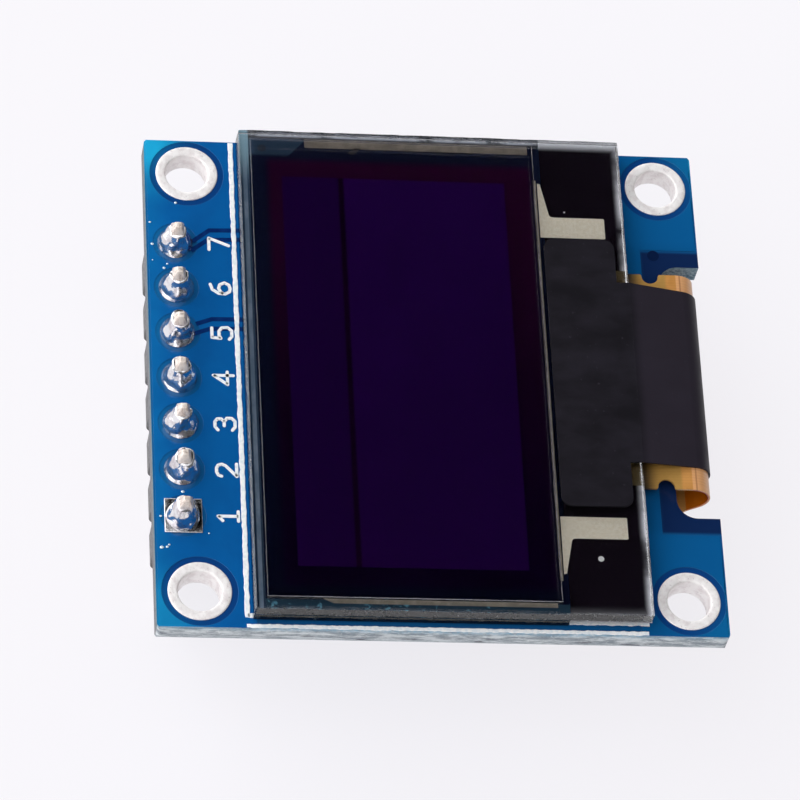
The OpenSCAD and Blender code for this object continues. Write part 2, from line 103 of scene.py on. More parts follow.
class Finish:
    """One material. Its nodes are all added by node()."""

    def __init__(self, name, values):
        self.material = bpy.data.materials.new(name)
        self.material.use_nodes = True
        self.tree = self.material.node_tree
        self.shader = next(n for n in self.tree.nodes if n.type == "BSDF_PRINCIPLED")
        self.at = self.node(
            "ShaderNodeVectorMath",
            {"operation": "SCALE"},
            {0: self.node("ShaderNodeTexCoord", output="Object"), "Scale": 1000.0},
        )
        split = self.node("ShaderNodeSeparateXYZ", values={0: self.at}).socket.node
        self.x, self.y, self.z = (Wire(self, s) for s in split.outputs)
        self.set(values)

    def node(self, kind, settings=None, values=None, output=0):
        made = self.tree.nodes.new(kind)
        for name, value in (settings or {}).items():
            setattr(made, name, value)
        for key, value in (values or {}).items():
            self.put(made.inputs[key], value)
        return Wire(self, made.outputs[output])

    def put(self, socket, value):
        if isinstance(value, Wire):
            self.tree.links.new(value.socket, socket)
        else:
            socket.default_value = value

    def set(self, values):
        for name, value in values.items():
            self.put(self.shader.inputs[name], value)

    def rise(self, value, low, high):
        """0 below low, 1 above high and smooth between them."""
        return self.node(
            "ShaderNodeMapRange",
            {"interpolation_type": "SMOOTHSTEP"},
            {"Value": value, "From Min": low, "From Max": high},
        )

    def within(self, value, low, high, soft=0.03):
        return self.rise(value, low - soft, low + soft) * (1 - self.rise(value, high - soft, high + soft))

    def mix(self, share, low, high):
        """Colour low where share is 0 and colour high where it is 1."""
        return self.node("ShaderNodeMix", {"data_type": "RGBA"}, {0: share, 6: low, 7: high}, 2)

    def mottle(self, scale, detail=3.0, stretch=(1, 1, 1), rough=0.55):
        """Noise with scale features in a mm."""
        where = self.node("ShaderNodeVectorMath", {"operation": "MULTIPLY"}, {0: self.at, 1: stretch})
        values = {"Vector": where, "Scale": scale, "Detail": detail, "Roughness": rough}
        return self.node("ShaderNodeTexNoise", values=values)

    def cloudy(self, dark, light, scale, detail=3.0, low=0.3, high=0.7):
        """A colour that wanders between two others."""
        return self.mix(self.rise(self.mottle(scale, detail), low, high), paint(dark), paint(light))

    def bump(self, height, depth, strength=1.0):
        """Sets a relief whose height of 1 stands depth mm proud."""
        values = {"Height": height, "Strength": strength, "Distance": depth * MM}
        self.set({"Normal": self.node("ShaderNodeBump", values=values)})

    def distance(self, x, y):
        return ((self.x - x) ** 2.0 + (self.y - y) ** 2.0) ** 0.5


def dress(finish, *nodes):
    """Gives CAD nodes whose shape is right their finish."""
    for node in nodes:
        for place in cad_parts[node].material_slots:
            place.material = finish.material


HOLE_X, HOLE_Y = 11.65, 11.9
HOLES = [(-HOLE_X, HOLE_Y), (HOLE_X, HOLE_Y), (-HOLE_X, -HOLE_Y), (HOLE_X, -HOLE_Y)]
BOARD_T = 1.2
HEADER_EDGE_Y = 14.0
NOTCH_X = 7.2  # just past the notch's half width

mask = Finish("board_laminate", {"IOR": 1.5, "Specular IOR Level": 0.35})


def mask_colour(f, inner, outer):
    """Solder mask colour from inner to outer, painted lighter near the board's edges, where light comes
    through the laminate, and more so towards the +x and +y sides, where the light falls from.
    """
    cloud = f.mottle(0.5)
    near_x, near_y = f.rise(abs(f.x), 9.5, 13.7), f.rise(abs(f.y), 11.0, 14.0)
    lit_side_share = (f.rise(f.x, -13, 13) * 0.5 + 0.5) * (f.rise(f.y, -12, 12) * 0.3 + 0.7)
    colour = f.mix((near_x * near_y * 1.25).least(1.0) * lit_side_share, inner, outer)
    colour = f.mix(f.rise(f.y, 12.6, 14.0) * 0.1, colour, outer)
    return f.mix(f.rise(cloud, 0.35, 0.75) * 0.25, colour, paint("#0b3f7d"))


face = mask_colour(mask, paint("#12568c"), paint("#1ea0d0"))
# Painted shadow of the ribbon and tape on the mask round the notch
shade = mask.within(mask.y, -14.2, -10.7, 0.35) * mask.within(mask.x, -7.95, 7.95, 0.12)
face = mask.mix(shade, face, paint("#10264f"))
# A darker ring over each hole's copper clearance: the bare laminate, deepened by painted shade where the
# mask dips between the copper's edge and the tinned ring
for hole_x, hole_y in HOLES:
    far = mask.distance(hole_x, hole_y)
    face = mask.mix(mask.within(far, 1.5, 1.86, 0.07) * 0.75, face, paint("#0b3374"))

fibre = mask.mottle(2.6, 6.0, (1.0, 0.35, 2.2), 0.7)
grain = mask.mottle(9.0, 4.0, (1.0, 0.6, 1.0), 0.7)
edge = mask.mix(mask.rise(fibre, 0.38, 0.62), paint("#8e979f"), paint("#dfe4e6"))
edge = mask.mix(mask.rise(grain, 0.58, 0.7) * 0.7, edge, paint("#f4f6f6"))
dark_marks = mask.rise(mask.mottle(1.7, 5.0, (1.0, 0.5, 2.6), 0.65), 0.56, 0.66)
dark_marks = dark_marks * mask.within(mask.z, -0.95, -0.5, 0.12)
edge = mask.mix(dark_marks * 0.85, edge, paint("#55525a"))
rim = mask.rise(mask.z, -0.3, -0.02) * mask.rise(grain, 0.3, 0.62)
edge = mask.mix(rim * 0.75, edge, paint("#7fb0cb"))
routed = mask.rise(mask.y, HEADER_EDGE_Y - 0.04, HEADER_EDGE_Y - 0.005)
routed_colour = mask.mix(mask.rise(mask.z, -0.75, -0.25), paint("#6f6b70"), paint("#5f7478"))
edge = mask.mix(routed * 0.85, edge, routed_colour)
notch_wall = mask.within(mask.x, -NOTCH_X, NOTCH_X, 0.1) * (1 - mask.rise(mask.y, -11.65, -11.5))
notch_colour = mask.mix(mask.rise(grain, 0.4, 0.6), paint("#3c6a80"), paint("#9fb9c4"))
edge = mask.mix(notch_wall * 0.8, edge, notch_colour)

wall = mask.within(mask.z, -BOARD_T + 0.006, -0.006, 0.004)
mask.set({"Base Color": mask.mix(wall, face, edge), "Roughness": wall * 0.55 + 0.16})
mask.bump(wall * (fibre + grain * 0.5) + (1 - wall) * mask.mottle(1.2) * 0.05, 0.14, 0.8)
dress(mask, "circuit_board")

# ---------------------------------------------------------------- Copper under the mask
# The copper is etched from 35 micron foil before the mask is printed, so its edges
# show as a low step. It stops short of holes, pads and traces all round, and a
# hole plated shut with mask joins both faces beside the notch.


def settle(name, obj, finish, slot, *nodes):
    """Makes a mesh object a piece of the module."""
    obj.name = obj.data.name = name
    obj.data.materials.clear()
    obj.data.materials.append(finish.material)
    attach(obj, "root")
    if nodes:
        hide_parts(*nodes)
    return obj


def piece(name, bm, finish, slot, *nodes, smooth=40):
    """Turns a bmesh drawn in mm into a piece."""
    bmesh.ops.scale(bm, vec=(MM, MM, MM), verts=bm.verts)
    mesh = bpy.data.meshes.new(name)
    bm.to_mesh(mesh)
    bm.free()
    obj = bpy.data.objects.new(name, mesh)
    bpy.context.scene.collection.objects.link(obj)
    if smooth:
        mesh.shade_smooth()
        mesh.set_sharp_from_angle(angle=math.radians(smooth))
    return settle(name, obj, finish, slot, *nodes)


def circle(x, y, r, count=64):
    """Points of a circle."""
    angles = [2 * math.pi * i / count for i in range(count)]
    return [(x + r * math.cos(a), y + r * math.sin(a)) for a in angles]


def flat(name, outlines, low, high, finish, slot, round_by=0.0, *nodes):
    """A flat layer between two heights with closed outlines; an outline inside another is a hole."""
    curve = bpy.data.curves.new(name, "CURVE")
    curve.dimensions, curve.fill_mode = "2D", "BOTH"
    curve.extrude = ((high - low) / 2 - round_by) * MM
    curve.bevel_depth, curve.bevel_resolution = round_by * MM, 1
    for outline in outlines:
        spline = curve.splines.new("POLY")
        spline.points.add(len(outline) - 1)
        spline.use_cyclic_u = True
        for point, (x, y) in zip(spline.points, outline):
            point.co = (x * MM, y * MM, 0, 1)
    drawn = bpy.data.objects.new(name, curve)
    bpy.context.scene.collection.objects.link(drawn)
    mesh = bpy.data.meshes.new_from_object(drawn.evaluated_get(bpy.context.evaluated_depsgraph_get()))
    bpy.data.objects.remove(drawn)
    mesh.transform(Matrix.Translation((0, 0, (low + high) / 2 * MM)))
    bm = bmesh.new()
    bm.from_mesh(mesh)
    bmesh.ops.remove_doubles(bm, verts=bm.verts, dist=1e-7)
    bmesh.ops.recalc_face_normals(bm, faces=bm.faces)
    bm.to_mesh(mesh)
    bm.free()
    obj = bpy.data.objects.new(name, mesh)
    bpy.context.scene.collection.objects.link(obj)
    return settle(name, obj, finish, slot, *nodes)


PIN_X = [(i - 3) * 2.54 for i in range(7)]
PIN_Y = 12.58
COPPER_T = 0.03

copper = Finish("mask_over_copper", {"IOR": 1.5, "Specular IOR Level": 0.35, "Roughness": 0.15})
tone = mask_colour(copper, paint("#0b5b9e"), paint("#20a8d8"))
tone = copper.mix((1 - copper.rise(copper.y, -9.5, 0)) * 0.8, tone, paint("#0b568c"))
# Painted shadow of the ribbon on the copper beside the notch
ribbon_shadow = copper.within(copper.x, -8.0, 8.2, 0.5) * (1 - copper.rise(copper.y, -9.5, -9.0))
tone = copper.mix(ribbon_shadow * 0.3, tone, paint("#08406c"))
copper.set({"Base Color": tone})
copper.bump(copper.mottle(1.1), 0.01, 0.5)

POUR_X, POUR_Y = 13.55, 9.2
RIBBON_POUR_X, RIBBON_POUR_Y, STEP_Y = 8.05, -9.5, -10.85
CLEAR_R = 1.86
EDGE_R = 0.012
for side, label in ((1, "top"), (-1, "bottom")):
    shape = [(RIBBON_POUR_X, RIBBON_POUR_Y), (POUR_X, RIBBON_POUR_Y), (POUR_X, -13.7)]
    shape += [(RIBBON_POUR_X, -13.7), (RIBBON_POUR_X, STEP_Y), (0.0, STEP_Y), (0.0, RIBBON_POUR_Y)]
    outlines = [[(side * x, y) for x, y in shape], circle(side * HOLE_X, -HOLE_Y, CLEAR_R)]
    flat(f"copper_ribbon_{label}", outlines, 0.0, COPPER_T, copper, "board", EDGE_R)

# Header side: one pour with round clearances and two traces that leave pins 5 and 7
trace_7 = [(7.45, 11.8), (8.12, 10.95), (8.17, POUR_Y)]
trace_5 = [(2.75, 11.75), (3.05, 10.95), (3.08, POUR_Y)]


def ribbon_of(points, half):
    """Outline of a line of width 2 * half along points."""
    left, right = [], []
    for i, p in enumerate(points):
        a, b = Vector(points[max(i - 1, 0)]), Vector(points[min(i + 1, len(points) - 1)])
        side = (b - a).normalized()
        left.append((p[0] - side.y * half, p[1] + side.x * half))
        right.append((p[0] + side.y * half, p[1] - side.x * half))
    return left + right[::-1]


pour = [(-POUR_X, POUR_Y), (POUR_X, POUR_Y), (POUR_X, 13.9), (-POUR_X, 13.9)]
gaps = [circle(x, PIN_Y, 1.12, 48) for x in PIN_X]
gaps += [circle(x, y, CLEAR_R) for x, y in HOLES[:2]]
flat("copper_header", [pour] + gaps, 0.0, COPPER_T, copper, "board", EDGE_R)

gap_line = Finish("mask_over_gap", {"Roughness": 0.18, "IOR": 1.5, "Specular IOR Level": 0.3})
gap_line.set({"Base Color": gap_line.cloudy("#07245c", "#0a2f6a", 1.5)})
GAP_OFF, GAP_HALF, GAP_T = 0.27, 0.12, 0.004
for number, line in ((7, trace_7), (5, trace_5)):
    for label, side, drop in (("a", -GAP_OFF, 0.0), ("b", GAP_OFF, GAP_OFF * 0.3)):
        edge_line = ribbon_of([(x + side, y - drop) for x, y in line], GAP_HALF)
        name = f"trace_gap_{number}_{label}"
        flat(name, [edge_line], COPPER_T, COPPER_T + GAP_T, gap_line, "board")

via = bmesh.new()
bmesh.ops.create_circle(via, cap_ends=True, segments=40, radius=0.3)
for inset, rise in ((0.07, 0.02), (0.07, -0.004), (0.06, -0.012)):
    top = [f for f in via.faces if len(f.verts) > 4]
    bmesh.ops.inset_region(via, faces=top, thickness=inset, depth=0.0, use_even_offset=True)
    for v in {v for f in via.faces if len(f.verts) > 4 for v in f.verts}:
        v.co.z += rise
bmesh.ops.translate(via, vec=(7.73, -11.52, 0.004), verts=via.verts)
tented = Finish("mask_over_via", {"Base Color": paint("#0a1c40"), "IOR": 1.5})
tented.set({"Roughness": tented.mottle(6.0) * 0.2 + 0.05})
piece("via_by_notch", via, tented, "board")

# ---------------------------------------------------------------- Printed lines and numbers
# White epoxy ink, screen printed over the mask: a frame where the panel is laid
# down, and a number beside each pin. The mesh of the screen leaves its edges wavy.

ink = Finish("white_ink", {"Roughness": 0.5, "Specular IOR Level": 0.3})
ink.set({"Base Color": ink.cloudy("#e9f1f6", "#ffffff", 5.0, 4.0, 0.35, 0.6)})
ink.bump(ink.mottle(8.0), 0.02, 0.6)
INK_T = 0.05
LINE, OUTER_LINE = 0.1, 0.08


def wavy(a, b, half, seed):
    """Outline of a printed line from a to b."""
    a, b = Vector(a), Vector(b)
    length = (b - a).length
    along, count = (b - a) / length, int(length / 0.12)
    side = Vector((-along.y, along.x))
    left, right = [], []
    for i in range(count + 1):
        p = a + along * length * i / count
        wave = [noise.noise(Vector((p.x * 4.6, p.y * 4.6, seed + s * 7.3))) * 0.04 for s in (0, 1)]
        left.append(tuple(p + side * (half + wave[0])))
        right.append(tuple(p - side * (half + wave[1])))
    return left + right[::-1]


lines = {
    "header": ((13.5, 9.65), (-12.98, 9.65)),
    "foot": ((-12.9, 9.62), (-12.9, 9.42)),
    "panel_side": ((-12.92, -5.95), (-12.92, -9.83)),
    "outer_side": ((-13.45, 9.68), (-13.45, -9.78)),
}
for number, (label, (a, b)) in enumerate(lines.items()):
    half = OUTER_LINE if label == "outer_side" else LINE
    outline = wavy(a, b, half, number * 3.1)
    flat(f"printed_line_{label}", [outline], 0.0, INK_T, ink, "board", 0.02)

DIGITS = {
    1: [
        [(0.12, 0.78), (0.36, 1.0), (0.36, 0.0)],
        [(0.1, 0.0), (0.62, 0.0)],
    ],
    2: [
        [(0.0, 0.76), (0.06, 0.92), (0.22, 1.0), (0.44, 1.0), (0.6, 0.92), (0.66, 0.74),
         (0.58, 0.55), (0.0, 0.0), (0.68, 0.0)],
    ],
    3: [
        [(0.0, 0.86), (0.18, 1.0), (0.46, 1.0), (0.62, 0.88), (0.62, 0.68), (0.46, 0.54),
         (0.24, 0.54)],
        [(0.46, 0.54), (0.66, 0.4), (0.66, 0.16), (0.5, 0.0), (0.18, 0.0), (0.0, 0.14)],
    ],
    4: [
        [(0.5, 0.0), (0.5, 1.0), (0.0, 0.3), (0.7, 0.3)],
    ],
    5: [
        [(0.62, 1.0), (0.08, 1.0), (0.04, 0.56), (0.2, 0.64), (0.45, 0.64), (0.64, 0.5),
         (0.66, 0.2), (0.48, 0.0), (0.16, 0.0), (0.0, 0.13)],
    ],
    6: [
        [(0.56, 1.0), (0.26, 0.9), (0.05, 0.58), (0.02, 0.26), (0.15, 0.04), (0.34, 0.0),
         (0.54, 0.06), (0.66, 0.28), (0.55, 0.52), (0.34, 0.58), (0.12, 0.48), (0.04, 0.34)],
    ],
    7: [
        [(0.0, 1.0), (0.66, 1.0), (0.25, 0.0)],
    ],
}
STROKE = 0.078
DISC_DROP = 0.004  # keeps the ends of bars and discs out of one plane


def stroke(bm, points, half, low, high):
    """A drawn line with round ends: a flat bar for each stretch and a disc at each point."""
    for a, b in zip(points, points[1:]):
        a, b = Vector(a), Vector(b)
        bar = bmesh.ops.create_cube(bm, size=1.0)["verts"]
        turn = Matrix.Rotation(math.atan2(b.y - a.y, b.x - a.x), 4, "Z")
        size = Matrix.Diagonal(((b - a).length, 2 * half, high - low, 1))
        middle = Matrix.Translation(((a.x + b.x) / 2, (a.y + b.y) / 2, (low + high) / 2))
        bmesh.ops.transform(bm, matrix=middle @ turn @ size, verts=bar)
    for x, y in points:
        disc = bmesh.ops.create_cone(
            bm, cap_ends=True, segments=16, radius1=half, radius2=half, depth=high - low - DISC_DROP
        )
        bmesh.ops.translate(bm, vec=(x, y, (low + high) / 2), verts=disc["verts"])


DIGIT_H, DIGIT_Y = 0.98, 9.92
for number, x in enumerate(PIN_X, 1):
    bm = bmesh.new()
    for points in DIGITS[number]:
        placed = [(x + (px - 0.34) * DIGIT_H * 1.02, DIGIT_Y + py * DIGIT_H) for px, py in points]
        stroke(bm, placed, STROKE, 0.0, INK_T + 0.003)
    piece(f"printed_number_{number}", bm, ink, "board")

# ---------------------------------------------------------------- Mounting holes
# Each hole is drilled, copper plated and levelled with hot tin, which leaves a
# bright, slightly uneven ring on both faces and a soft lip at the bore.

tin = Finish("tinned_copper", {"Metallic": 0.3, "IOR": 1.8})
stain = tin.rise(tin.mottle(2.2, 5.0, rough=0.65), 0.42, 0.68)
pits = tin.rise(tin.mottle(7.0, 3.0), 0.62, 0.72)
plain = tin.mix(stain, paint("#fbf7f5"), paint("#e9e1e0"))
tin.set(
    {
        "Base Color": tin.mix(pits * 0.4, plain, paint("#a89da0")),
        "Roughness": tin.rise(tin.mottle(3.5, 4.0), 0.3, 0.7) * 0.2 + 0.42,
    }
)
tin.bump(tin.mottle(3.2, 4.0) + pits * -0.3, 0.05, 0.6)

BORE_R, RING_R, PLATE = 1.05, 1.55, 0.05
half_section = [(RING_R, 0.0), (RING_R, 0.018), (1.535, 0.042), (1.49, 0.056), (1.35, 0.058)]
half_section += [(1.2, 0.053), (1.125, 0.048), (1.085, 0.03), (1.06, -0.01), (BORE_R, -0.08)]
rim_points = half_section + [(r, -BOARD_T - z) for r, z in half_section[::-1]]
rim_points += [(BORE_R + PLATE, -BOARD_T), (BORE_R + PLATE, 0.0)]


def revolve(bm, points, steps):
    """Turns a line of points, joined in order, once round Z."""
    verts = [bm.verts.new((r, 0.0, z)) for r, z in points]
    edges = [bm.edges.new((a, b)) for a, b in zip(verts, verts[1:])]
    turn = {"cent": (0, 0, 0), "axis": (0, 0, 1), "angle": 2 * math.pi}
    bmesh.ops.spin(bm, geom=verts + edges, steps=steps, use_merge=True, **turn)
    bmesh.ops.remove_doubles(bm, verts=bm.verts, dist=1e-5)


for number, (x, y) in enumerate(HOLES, 1):
    bm = bmesh.new()
    revolve(bm, rim_points + rim_points[:1], 96)
    bmesh.ops.recalc_face_normals(bm, faces=bm.faces)
    for v in bm.verts:
        lump = noise.noise(v.co * 1.3 + Vector((number * 9.1, 0, 0)))
        if v.co.z > 0.04 or v.co.z < -BOARD_T - 0.04:
            v.co.z += math.copysign(0.012, v.co.z + 0.6) * (lump - 0.6) * 0.5
        elif math.hypot(v.co.x, v.co.y) < 1.07:
            v.co.xy *= 1 + 0.006 * lump
    bmesh.ops.translate(bm, vec=(x, y, 0), verts=bm.verts)
    piece(f"hole_ring_{number}", bm, tin, "tinned_ring", f"hole_plating_{number}", smooth=60)

# ---------------------------------------------------------------- Pin header
# Square brass pins, tinned, pressed through a moulded plastic strip whose segments
# are notched between the pins so that it snaps to length.


def solid_of(node, flat_within=0.5):
    """The CAD node's solid in mm, with its triangles merged into whole faces."""
    bm = bmesh.new()
    bm.from_mesh(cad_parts[node].data)
    bmesh.ops.scale(bm, vec=(1 / MM,) * 3, verts=bm.verts)
    bmesh.ops.remove_doubles(bm, verts=bm.verts, dist=0.0005)
    bmesh.ops.dissolve_limit(bm, angle_limit=math.radians(flat_within), verts=bm.verts, edges=bm.edges)
    return bm


def bevel(bm, edges, width, segments):
    """Rounds edges. Everything the editor would fill in is said here."""
    shape = {"offset_type": "OFFSET", "affect": "EDGES", "profile": 0.5, "material": -1}
    bmesh.ops.bevel(bm, geom=edges, offset=width, segments=segments, clamp_overlap=True, **shape)


def soften(bm, width, segments=2, angle=35, keep=None):
    """Rounds the sharp edges of a solid."""
    sharp = [e for e in bm.edges if len(e.link_faces) == 2 and e.calc_face_angle(0) > math.radians(angle)]
    if keep:
        sharp = [e for e in sharp if keep(e)]
    bevel(bm, sharp, width, segments)


black = Finish("header_plastic", {"IOR": 1.5, "Specular IOR Level": 0.6})
black.set({"Base Color": black.cloudy("#141416", "#232226", 3.0)})
black.set({"Roughness": black.rise(black.mottle(5.0), 0.3, 0.7) * 0.15 + 0.3})
black.bump(black.mottle(14.0, 2.0), 0.02, 0.5)
bm = solid_of("header_strip")
soften(bm, 0.07)
piece("header_strip_body", bm, black, "strip_plastic", "header_strip")

pin_metal = Finish("tinned_pin", {"Metallic": 0.35})
scratch = pin_metal.mottle(5.0, 4.0, (1.0, 1.0, 0.2))
tinned = pin_metal.mix(pin_metal.rise(scratch, 0.35, 0.65), paint("#dccbc0"), paint("#f4e9e0"))
pin_metal.set({"Base Color": tinned})
pin_metal.set({"Roughness": pin_metal.rise(scratch, 0.3, 0.7) * 0.2 + 0.22})
pin_metal.bump(scratch, 0.03, 0.5)
for number in range(1, 8):
    bm = solid_of(f"header_pin_{number}")
    soften(bm, 0.045)
    piece(f"pin_{number}", bm, pin_metal, "pin_metal", f"header_pin_{number}")

# ---------------------------------------------------------------- Solder joints
# Each pin is soldered by hand from the display side. The tin climbs the pin as a
# hollow cone and freezes unevenly, leaving a lump on one side; specks of flux lie round the joints.

solder = Finish("solder", {"Metallic": 1.0})
freeze = solder.mottle(2.6, 4.0, rough=0.5)
solder.set({"Base Color": solder.mix(solder.rise(freeze, 0.4, 0.7), paint("#eeeef0"), paint("#cfc8cc"))})
solder.set({"Roughness": solder.rise(freeze, 0.35, 0.7) * 0.14 + 0.08})
solder.bump(freeze, 0.05, 0.5)


def cone_radius(z):
    """Radius of the hollow flank at height z."""
    t = min(max(z / 1.25, 0.0), 1.0)
    return 0.875 - 0.4 * t ** 0.62 - 0.02 * t


LUMP_WAY = Vector((-0.45, 0.89))  # where most of the tin froze
PIN_MIDDLE = 0.05
LAND_SIDE, LAND_T = 1.85, 0.08
for number, x in enumerate(PIN_X, 1):
    bm = bmesh.new()
    heights = [0.0, 0.03, 0.07, 0.13, 0.2, 0.29, 0.39, 0.5, 0.62, 0.74, 0.87, 1.0, 1.12, 1.2, 1.25]
    section = [(0.83, 0.0), (0.875, 0.015), (0.868, 0.05)]
    section += [(cone_radius(z), z) for z in heights[3:]] + [(0.38, 1.27), (0.33, 1.28), (0.0, 1.29)]
    revolve(bm, section, 64)
    bmesh.ops.contextual_create(bm, geom=[e for e in bm.edges if e.is_boundary])
    bmesh.ops.recalc_face_normals(bm, faces=bm.faces)
    for v in bm.verts:
        x_now, y_now, height = v.co
        wide = Vector((x_now * 1.4, y_now * 1.4, height * 1.1))
        close = Vector((x_now * 3.4, y_now * 3.4, height * 2.0))
        lump = noise.noise(wide + Vector((number * 5.7, 3.1, 0)))
        fold = noise.noise(close + Vector((number * 3.3, 9.0, 0)))
        if v.co.xy.length > PIN_MIDDLE:
            way = v.co.xy.normalized()
            swell = 0.16 * math.exp(-((way - LUMP_WAY).length_squared) / 0.5)
            swell *= math.sin(math.pi * min(height / 1.2, 1.0))
            v.co.xy += way * (min(height / 0.25, 1.0) * (0.16 * lump + 0.07 * fold + swell))
        v.co.z += 0.1 * max(lump, -0.3) * min(height, 1.0)
    bmesh.ops.translate(bm, vec=(x, PIN_Y, 0.0), verts=bm.verts)
    if number == 1:
        land = bmesh.ops.create_cube(bm, size=1.0)["verts"]
        size = Matrix.Diagonal((LAND_SIDE, LAND_SIDE, LAND_T, 1))
        place = Matrix.Translation((x, PIN_Y, LAND_T / 2))
        bmesh.ops.transform(bm, matrix=place @ size, verts=land)
        bevel(bm, [e for e in bm.edges if all(v in land for v in e.verts)], 0.05, 3)
    piece(f"solder_cone_{number}", bm, solder, "solder", f"solder_joint_{number}", smooth=70)

flux = Finish("flux_specks", {"Base Color": paint("#dff2fa"), "Metallic": 0.5, "IOR": 1.5})
flux.set({"Roughness": flux.mottle(5.0) * 0.3})
specks = [(9.93, 12.49, 0.06), (8.77, 13.8, 0.05), (7.52, 13.72, 0.06), (6.16, 13.16, 0.06)]
specks += [(6.4, 13.0, 0.045), (6.6, 13.72, 0.03), (-7.66, 13.68, 0.05), (-9.35, 13.66, 0.08)]
specks += [(-9.32, 13.4, 0.06), (-9.2, 13.3, 0.045), (-6.31, 12.57, 0.07), (-8.54, 11.37, 0.04)]
bm = bmesh.new()
for x, y, r in specks:
    drop = bmesh.ops.create_icosphere(bm, subdivisions=2, radius=r)["verts"]
    flattened = Matrix.Translation((x, y, 0.035)) @ Matrix.Diagonal((1, 1.3, 0.45, 1))
    bmesh.ops.transform(bm, matrix=flattened, verts=drop)
piece("flux_specks", bm, flux, "solder")

# ---------------------------------------------------------------- Rear glass and printed layers
# The rear glass is an etched cap, glued round its rim with a bead of resin to keep
# the emitting layers dry. Thin metal and black layers are laid on the inner face
# of the front glass, so they are seen through it.

X0, X1 = -13.15, 13.55
Y0, Y1 = -9.86, 9.4
CAP_Y0 = -5.86
PANEL_X = 0.2
LINE_LOW, LINE_HIGH = 0.641, 0.647

dull = Finish("bonding_tape", {"Roughness": 0.7})
dull.set({"Base Color": dull.mix(dull.mottle(4.0), paint("#1c1c20"), paint("#303036"))})
dull.bump(dull.mottle(6.0), 0.03, 0.5)
dress(dull, "bond_tape")

drier = Finish("drying_sheet", {"Roughness": 0.85})
drier.set({"Base Color": drier.mix(drier.mottle(6.0), paint("#dcd8d0"), paint("#f0eee8"))})
dress(drier, "drying_sheet")

rear = Finish("rear_glass", {"Base Color": paint("#a9c2c6"), "Transmission Weight": 1.0, "IOR": 1.5})
rear.set({"Roughness": rear.rise(rear.mottle(3.0), 0.4, 0.8) * 0.25 + 0.05})
bm = solid_of("cover_glass")
for v in bm.verts:
    v.co.z = 0.624 if v.co.z > 0.6 else max(v.co.z, 0.104)
soften(bm, 0.03, 1, keep=lambda e: all(v.co.z < 0.11 or v.co.z > 0.62 for v in e.verts))
piece("rear_glass", bm, rear, "cover_glass", "cover_glass", smooth=20)

# Everything dark that is printed round the lit area, with painted light towards its top end
inside = Finish("inner_layers", {"Specular IOR Level": 0.0, "Roughness": 0.5})
left = inside.rise(inside.y, 8.83, 8.9)
low_end = 1 - inside.rise(inside.x, -12.45, -12.4)
top_end = inside.rise(inside.x, 13.2, 13.25)
cut = inside.rise(inside.x + inside.y * 1.088, 19.72, 19.82)
cut = cut * inside.rise(inside.x, 12.2, 12.42)
frame_shade = inside.within(inside.x, -11.7, 12.05, 0.25) * inside.within(inside.y, -5.3, 7.95, 0.22)
margin = inside.mix(inside.rise(inside.x, -12.0, 12.0), paint("#10152a"), paint("#1a2138"))
band = inside.within(inside.y, 8.97, 9.18, 0.03)
streaks = inside.rise(inside.mottle(1.1, 3.0, (1.0, 2.2, 1.0)), 0.35, 0.75)
plateau = inside.mix(inside.rise(inside.x, -12.0, 8.0), paint("#27384f"), paint("#33475f"))
border = inside.mix(band, plateau, inside.mix(streaks, paint("#66788c"), paint("#8492a4")))
border = inside.mix(inside.rise(inside.x, 10.5, 13.2), border, paint("#9cc0d0"))
# The frame's maroon black, painted lighter towards the top end as light from the glass's top edge
frame_and_painted_light = inside.mix(inside.rise(inside.x, -11, 12), paint("#190329"), paint("#3a0c36"))
shown = inside.mix(frame_shade, margin, frame_and_painted_light)
shown = inside.mix(cut * (1 - left), shown, paint("#3a4f65"))
shown = inside.mix(low_end, shown, inside.cloudy("#2b4152", "#5d93a8", 2.2, 4.0, 0.6, 0.7))
shown = inside.mix(top_end, shown, paint("#3f4248"))
# A patchy painted highlight along the front glass's top edge
top_edge_highlight = inside.rise(inside.mottle(0.8, 3.0, (1.0, 1.0, 1.0)), 0.32, 0.5)
shown = inside.mix(inside.rise(inside.x, 13.41, 13.46) * top_edge_highlight, shown, paint("#b9bcc8"))
shown = inside.mix(left, shown, border)
inside.set({"Base Color": shown})
bm = bmesh.new()
bmesh.ops.create_cube(bm, size=1.0)
bmesh.ops.scale(bm, vec=(X1 - X0 - 0.04, Y1 - CAP_Y0 - 0.04, 0.012), verts=bm.verts)
bmesh.ops.translate(bm, vec=((X0 + X1) / 2, (Y1 + CAP_Y0) / 2, 0.634), verts=bm.verts)
piece("inner_layers", bm, inside, "cover_glass", smooth=0)

lit = Finish("lit_area", {"Specular IOR Level": 0.0, "Roughness": 0.4})
cloudy = lit.mottle(0.35)
side_shade = lit.rise(lit.y, 4.3, 4.5)
main = lit.mix(lit.rise(lit.x * 0.05 + lit.y * 0.05 + cloudy, 0.2, 1.1), paint("#330856"), paint("#380a60"))
main = lit.mix(side_shade, main, paint("#310852"))
main = lit.mix(lit.within(lit.y, 4.16, 4.44, 0.06), main, paint("#26042c"))
lit.set({"Base Color": main})
dress(lit, "emitting_layer")

# Metal lines and marks, all on the inner face of the front glass
champagne = Finish("bus_metal", {"Specular IOR Level": 0.3, "Roughness": 0.45})
champagne.set({"Base Color": champagne.cloudy("#ece0c8", "#f4ead6", 6.0, 3.0, 0.35, 0.65)})
champagne.bump(champagne.mottle(9.0), 0.01, 0.4)

tan = Finish("bus_line", {"Specular IOR Level": 0.3, "Roughness": 0.5})
tan.set({"Base Color": tan.cloudy("#8d8475", "#a69c8c", 2.0, 4.0, 0.35, 0.7)})

